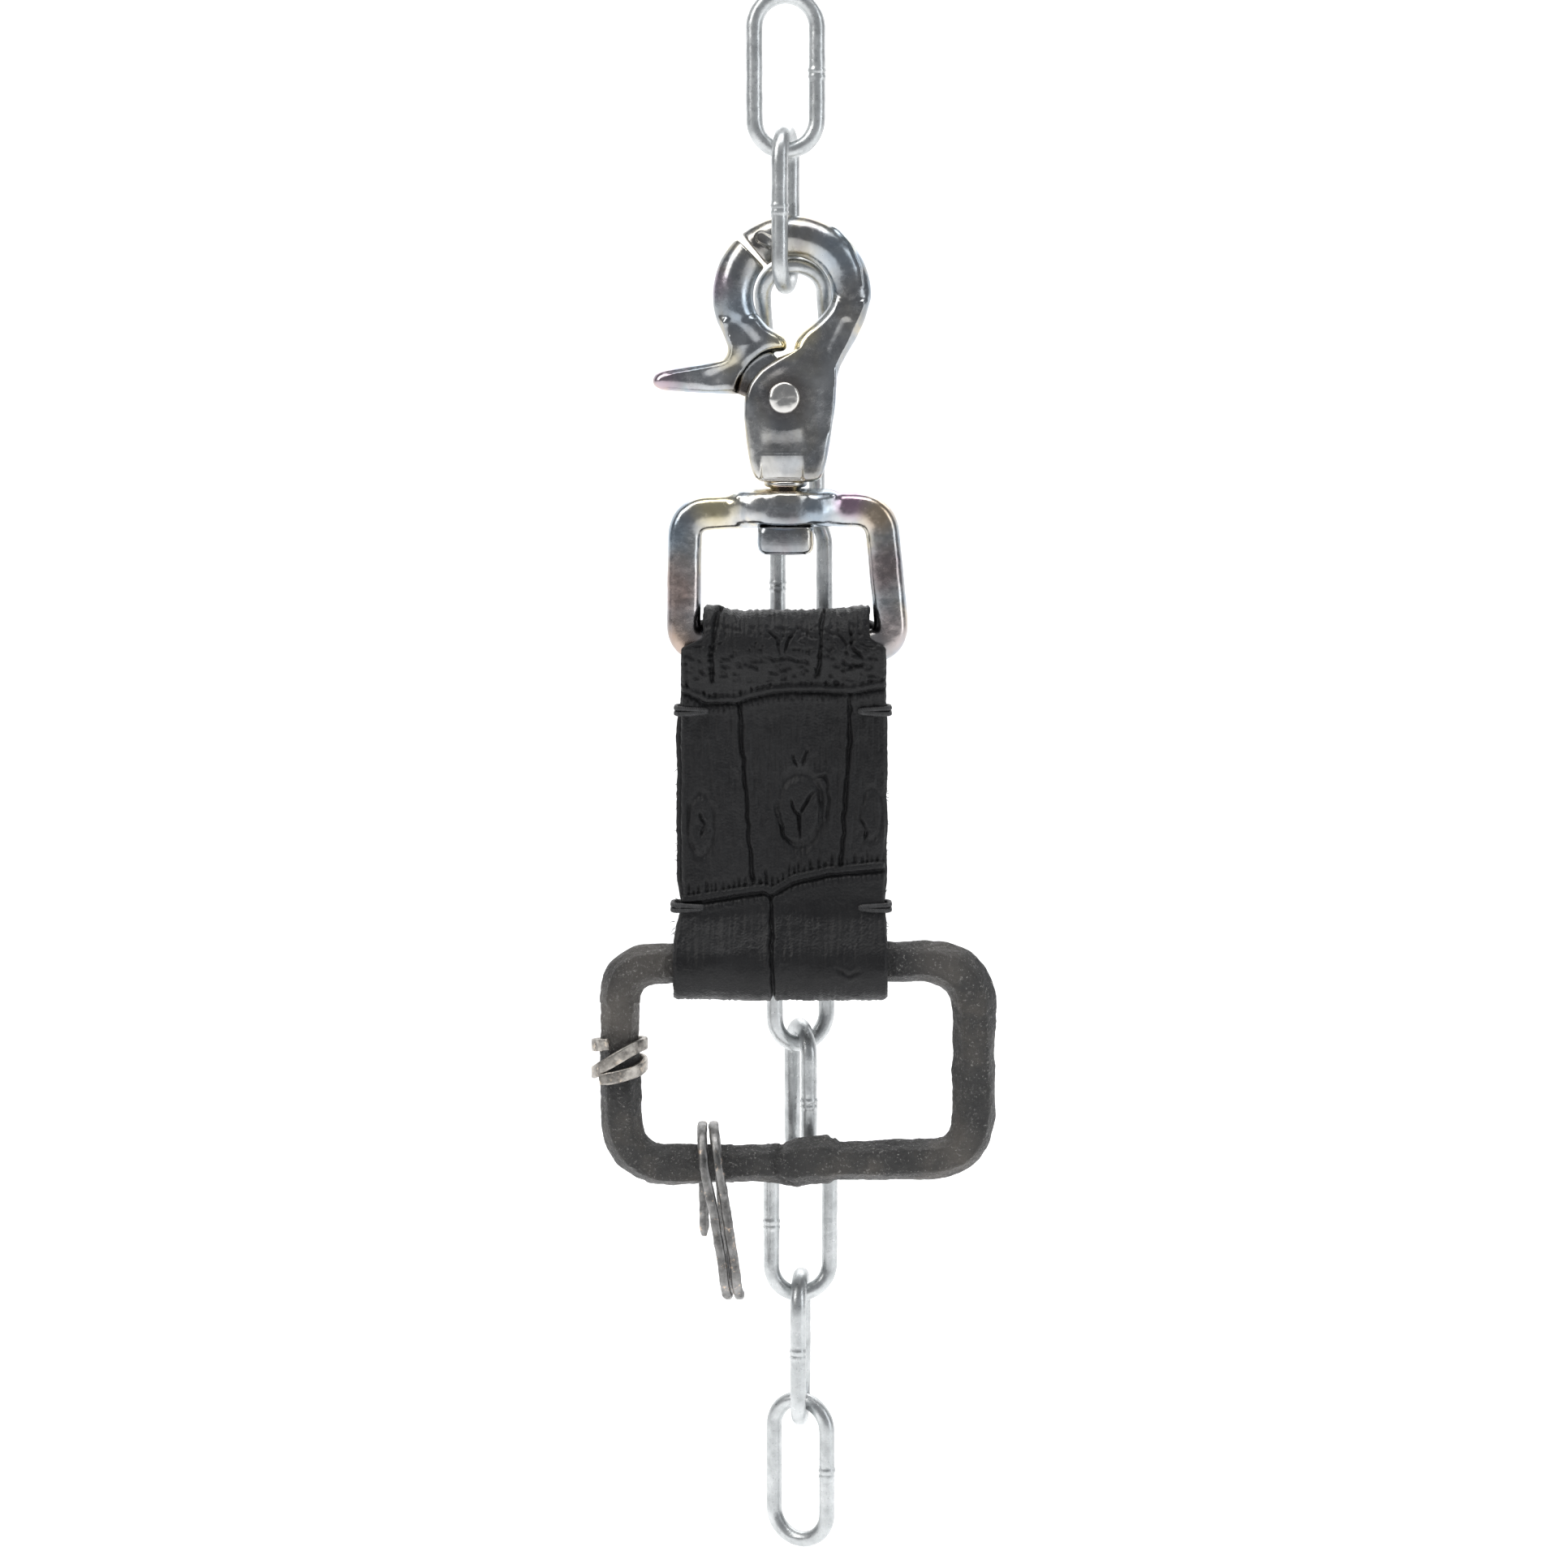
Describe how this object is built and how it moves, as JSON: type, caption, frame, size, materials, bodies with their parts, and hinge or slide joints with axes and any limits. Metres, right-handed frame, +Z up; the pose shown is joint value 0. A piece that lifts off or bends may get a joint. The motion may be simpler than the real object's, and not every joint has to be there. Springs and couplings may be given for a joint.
{
  "type": "swivel snap key hanger on a chain",
  "caption": "Chain-hung swivel scissor snap with a reptile-embossed leather strap loop, a forged iron ring, a wrapped silver band and a split ring.",
  "frame": {"origin": "the underside of the top link's upper crown, where the chain hangs from a hook or nail", "axes": "+Z up along the hanging chain, -Y is the object's front, +X is its right seen from the front"},
  "size_m": [0.0782, 0.0296, 0.307],
  "materials": {
    "zinc_chain": "bright zinc plate",
    "dark_steel": "polished, darkened and heat-tinted",
    "rivet_steel": "bright domed head",
    "spring_steel": "plain",
    "black_leather": "matte black, embossed reptile grain",
    "waxed_thread": "waxed twisted thread",
    "forged_iron": "black forged scale",
    "aged_silver": "hammered and tarnished",
    "dark_silver": "dark tarnish with warm bright spots"
  },
  "bodies": {
    "chain_01": {"chain_link_01": "zinc_chain"},
    "chain_02": {"chain_link_02": "zinc_chain"},
    "chain_03": {"chain_link_03": "zinc_chain"},
    "chain_04": {"chain_link_04": "zinc_chain"},
    "chain_05": {"chain_link_05": "zinc_chain"},
    "chain_06": {"chain_link_06": "zinc_chain"},
    "chain_07": {"chain_link_07": "zinc_chain"},
    "chain_08": {"chain_link_08": "zinc_chain"},
    "chain_09": {"chain_link_09": "zinc_chain"},
    "chain_10": {"chain_link_10": "zinc_chain"},
    "chain_11": {"chain_link_11": "zinc_chain"},
    "chain_12": {"chain_link_12": "zinc_chain"},
    "hook": {"hook_body": "dark_steel", "pivot_rivet": "rivet_steel", "swivel_stud": "dark_steel", "trigger_spring": "spring_steel"},
    "lever": {"trigger_lever": "dark_steel"},
    "frame": {"swivel_frame": "dark_steel"},
    "strap": {"leather_strap": "black_leather", "stitch_upper_left": "waxed_thread", "stitch_upper_right": "waxed_thread", "stitch_lower_left": "waxed_thread", "stitch_lower_right": "waxed_thread"},
    "ring": {"iron_ring": "forged_iron", "silver_band": "aged_silver"},
    "split": {"split_ring": "dark_silver"}
  },
  "joints": [
    {"name": "link_02_swing", "type": "hinge", "parent": "chain_01", "child": "chain_02", "pos_m": [0, 0, -0.0272], "axis": [1, 0, 0], "range_deg": [-24, 24]},
    {"name": "link_03_swing", "type": "hinge", "parent": "chain_02", "child": "chain_03", "pos_m": [0, 0, -0.0466], "axis": [0.9816, -0.1908, 0], "range_deg": [0, 12]},
    {"name": "link_04_swing", "type": "hinge", "parent": "chain_03", "child": "chain_04", "pos_m": [0.00281, 0.0133, -0.07476], "axis": [0.992, 0.0792, 0.0981], "range_deg": [0, 15]},
    {"name": "link_05_swing", "type": "hinge", "parent": "chain_04", "child": "chain_05", "pos_m": [0.003, 0.0133, -0.09395], "axis": [0.8526, -0.5225, 0], "range_deg": [0, 24]},
    {"name": "link_06_swing", "type": "hinge", "parent": "chain_05", "child": "chain_06", "pos_m": [0.003, 0.0133, -0.12515], "axis": [0.766, -0.6428, 0], "range_deg": [0, 24]},
    {"name": "link_07_swing", "type": "hinge", "parent": "chain_06", "child": "chain_07", "pos_m": [0.003, 0.0133, -0.15045], "axis": [0.7314, 0.682, 0], "range_deg": [0, 24]},
    {"name": "link_08_swing", "type": "hinge", "parent": "chain_07", "child": "chain_08", "pos_m": [0.003, 0.0133, -0.16985], "axis": [0.8039, 0.5948, 0], "range_deg": [0, 24]},
    {"name": "link_09_swing", "type": "hinge", "parent": "chain_08", "child": "chain_09", "pos_m": [0.003, 0.0133, -0.20105], "axis": [0.866, 0.5, 0], "range_deg": [0, 24]},
    {"name": "link_10_swing", "type": "hinge", "parent": "chain_09", "child": "chain_10", "pos_m": [0.003, 0.0133, -0.22045], "axis": [0.9613, 0.2756, 0], "range_deg": [0, 24]},
    {"name": "link_11_swing", "type": "hinge", "parent": "chain_10", "child": "chain_11", "pos_m": [0.003, 0.0133, -0.25165], "axis": [0.9781, 0.2079, 0], "range_deg": [-12, 24]},
    {"name": "link_12_swing", "type": "hinge", "parent": "chain_11", "child": "chain_12", "pos_m": [0.003, 0.0133, -0.27105], "axis": [0.9962, -0.0872, 0], "range_deg": [-20, 24]},
    {"name": "hook_swing", "type": "hinge", "parent": "chain_02", "child": "hook", "pos_m": [0, -0.0004, -0.0432], "axis": [1, 0, 0], "range_deg": [-32, 0]},
    {"name": "trigger", "type": "hinge", "parent": "hook", "child": "lever", "pos_m": [-0.0003, -0.0004, -0.0734], "axis": [0, -1, 0], "range_deg": [0, 20], "stiffness_Nm_per_rad": 0.03, "springref_deg": -20.05},
    {"name": "swivel", "type": "hinge", "parent": "hook", "child": "frame", "pos_m": [0, -0.0004, -0.0945], "axis": [0, 0, 1], "range_deg": [-12, 10]},
    {"name": "strap_swing", "type": "hinge", "parent": "frame", "child": "strap", "pos_m": [0, -0.0004, -0.1209], "axis": [1, 0, 0], "range_deg": [-30, 0]},
    {"name": "ring_swing", "type": "hinge", "parent": "strap", "child": "ring", "pos_m": [0, -0.0004, -0.1824], "axis": [1, 0, 0], "range_deg": [-80, 0]},
    {"name": "split_ring_swing", "type": "hinge", "parent": "ring", "child": "split", "pos_m": [-0.0142, -0.0004, -0.222], "axis": [1, 0, 0], "range_deg": [-70, 0]}
  ]
}
